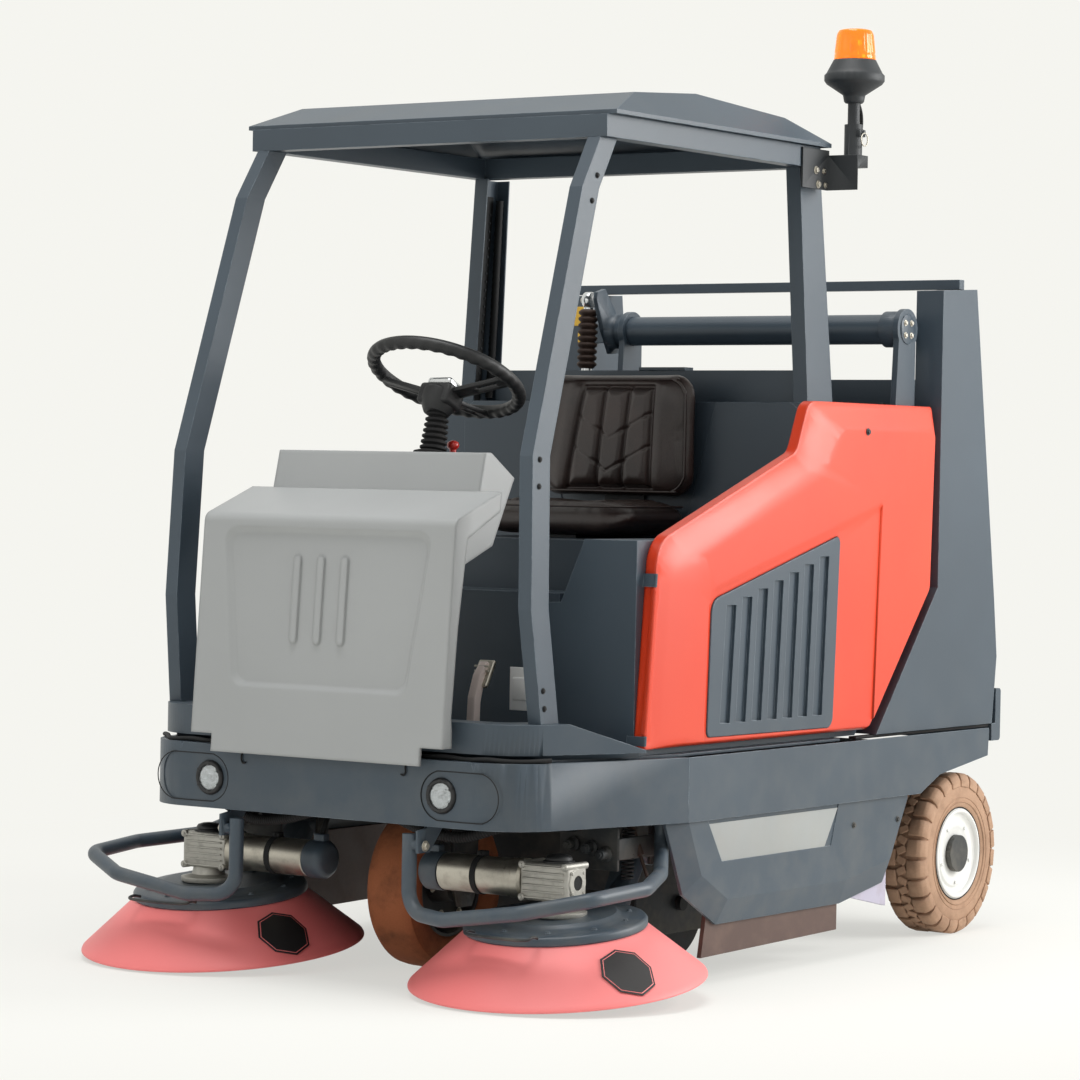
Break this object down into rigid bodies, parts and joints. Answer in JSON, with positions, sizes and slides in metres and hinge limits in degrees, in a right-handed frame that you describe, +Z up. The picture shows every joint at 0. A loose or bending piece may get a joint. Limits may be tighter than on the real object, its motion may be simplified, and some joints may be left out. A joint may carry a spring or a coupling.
{
  "type": "compact ride-on road sweeper",
  "caption": "Three-wheel ride-on road sweeper with side and main brushes, open cab under a roof, and a hopper that tips over the back at head height.",
  "frame": {"origin": "on the ground under the middle of the machine's length and width", "axes": "+Z up, -Y front, +X the driver's left"},
  "size_m": [1.66, 2.2081, 2.3003],
  "materials": {
    "slate_paint": "satin powder coat",
    "grey_paint": "satin powder coat",
    "red_paint": "gloss paint",
    "salmon_paint": "gloss paint",
    "white_paint": "satin paint",
    "dark_steel": "satin black paint",
    "zinc_steel": "zinc plate",
    "chrome": "hard chrome",
    "cast_aluminium": "as cast",
    "engine_iron": "as cast",
    "black_rubber": "matte",
    "tan_tyre": "matte",
    "brown_tyre": "matte",
    "seat_vinyl": "satin grained vinyl",
    "black_plastic": "matte",
    "bristle": "matte",
    "amber_lens": "clear amber",
    "lamp_glass": "clear"
  },
  "bodies": {
    "machine": {"chassis_frame": "dark_steel", "front_bumper": "slate_paint", "side_rails": "slate_paint", "floor_deck": "slate_paint", "tow_plate": "dark_steel", "frame_brackets": "dark_steel", "front_sill": "slate_paint", "front_fairing": "grey_paint", "dash_console": "grey_paint", "steering_column": "black_rubber", "pedal": "zinc_steel", "seat_pedestal": "slate_paint", "seat_cushion": "seat_vinyl", "seat_back": "seat_vinyl", "seat_frame": "dark_steel", "engine_hood": "slate_paint", "bulkhead_board": "slate_paint", "engine_block": "engine_iron", "side_body": "slate_paint", "front_pillars": "slate_paint", "rear_pillars": "slate_paint", "roof_frame": "slate_paint", "roof_panel": "slate_paint", "beacon_mount": "dark_steel", "beacon_lens": "amber_lens", "headlamps": "lamp_glass", "rear_axle": "dark_steel", "brush_guards": "slate_paint", "brush_housing": "dark_steel", "side_skirts": "slate_paint", "rubber_flaps": "black_rubber", "lift_uprights": "slate_paint"},
    "fork": {"wheel_fork": "dark_steel"},
    "front_wheel": {"front_tyre": "brown_tyre", "front_rim": "dark_steel"},
    "rear_wheel_left": {"rear_tyre_left": "tan_tyre", "rear_rim_left": "white_paint"},
    "rear_wheel_right": {"rear_tyre_right": "tan_tyre", "rear_rim_right": "white_paint"},
    "steering": {"steering_wheel": "black_plastic"},
    "hopper": {"hopper_column_left": "slate_paint", "hopper_column_right": "slate_paint", "hopper_tub": "slate_paint", "hopper_crossbar": "slate_paint", "torque_tube": "slate_paint", "hopper_bumper": "slate_paint"},
    "lift_barrel": {"lift_barrel": "dark_steel"},
    "lift_rod": {"lift_rod": "chrome"},
    "arm_left": {"brush_arm_left": "slate_paint", "brush_drive_left": "cast_aluminium", "dust_skirt_left": "salmon_paint"},
    "arm_right": {"brush_arm_right": "slate_paint", "brush_drive_right": "cast_aluminium", "dust_skirt_right": "salmon_paint"},
    "sweeper_left": {"side_brush_left": "bristle"},
    "sweeper_right": {"side_brush_right": "bristle"},
    "roller": {"main_brush": "bristle"},
    "cover_left": {"side_cover_left": "red_paint", "side_grille": "slate_paint"},
    "cover_right": {"side_cover_right": "red_paint"}
  },
  "joints": [
    {"name": "steer", "type": "hinge", "parent": "machine", "child": "fork", "pos_m": [0, -0.57394, 0.45], "axis": [0, 0, 1], "range_deg": [-75, 75]},
    {"name": "front_wheel_spin", "type": "hinge", "parent": "fork", "child": "front_wheel", "pos_m": [0, -0.57394, 0.2], "axis": [1, 0, 0], "continuous": true},
    {"name": "rear_wheel_left_spin", "type": "hinge", "parent": "machine", "child": "rear_wheel_left", "pos_m": [0.5625, 0.89406, 0.21], "axis": [1, 0, 0], "continuous": true},
    {"name": "rear_wheel_right_spin", "type": "hinge", "parent": "machine", "child": "rear_wheel_right", "pos_m": [-0.5625, 0.89406, 0.21], "axis": [1, 0, 0], "continuous": true},
    {"name": "steering_wheel_turn", "type": "hinge", "parent": "machine", "child": "steering", "pos_m": [0, -0.56294, 1.406], "axis": [0, 0.4337, 0.9011], "range_deg": [-460, 460]},
    {"name": "hopper_tip", "type": "hinge", "parent": "machine", "child": "hopper", "pos_m": [0, 0.58606, 1.565], "axis": [1, 0, 0], "range_deg": [0, 100]},
    {"name": "lift_barrel_swing", "type": "hinge", "parent": "machine", "child": "lift_barrel", "pos_m": [-0.335, 0.50606, 0.84], "axis": [1, 0, 0], "range_deg": [-5, 5]},
    {"name": "lift_rod_slide", "type": "slide", "parent": "lift_barrel", "child": "lift_rod", "axis": [0, 0.0383, 0.9993], "range_m": [-0.16, 0.001]},
    {"name": "arm_left_lift", "type": "hinge", "parent": "machine", "child": "arm_left", "pos_m": [0.489, -0.44394, 0.3], "axis": [-1, 0, 0], "range_deg": [0, 8]},
    {"name": "side_brush_left_spin", "type": "hinge", "parent": "arm_left", "child": "sweeper_left", "pos_m": [0.489, -0.76494, 0.04], "axis": [0, -0.105, 0.9945], "continuous": true},
    {"name": "arm_right_lift", "type": "hinge", "parent": "machine", "child": "arm_right", "pos_m": [-0.489, -0.44394, 0.3], "axis": [-1, 0, 0], "range_deg": [0, 8]},
    {"name": "side_brush_right_spin", "type": "hinge", "parent": "arm_right", "child": "sweeper_right", "pos_m": [-0.489, -0.76494, 0.04], "axis": [0, -0.105, 0.9945], "continuous": true},
    {"name": "main_brush_spin", "type": "hinge", "parent": "machine", "child": "roller", "pos_m": [0, -0.06394, 0.142], "axis": [1, 0, 0], "continuous": true},
    {"name": "cover_left_open", "type": "hinge", "parent": "machine", "child": "cover_left", "pos_m": [0.644, -0.66194, 0.562], "axis": [0, -0.0901, -0.9959], "range_deg": [0, 80]},
    {"name": "cover_right_open", "type": "hinge", "parent": "machine", "child": "cover_right", "pos_m": [-0.644, 0.23206, 0.562], "axis": [0, 0, 1], "range_deg": [0, 80]}
  ],
  "couplings": [
    {"joint": "steering_wheel_turn", "follows": "steer", "ratio": 6},
    {"joint": "lift_barrel_swing", "follows": "hopper_tip", "ratio": 0.03926},
    {"joint": "lift_rod_slide", "follows": "hopper_tip", "m_per_rad": -0.08142}
  ]
}
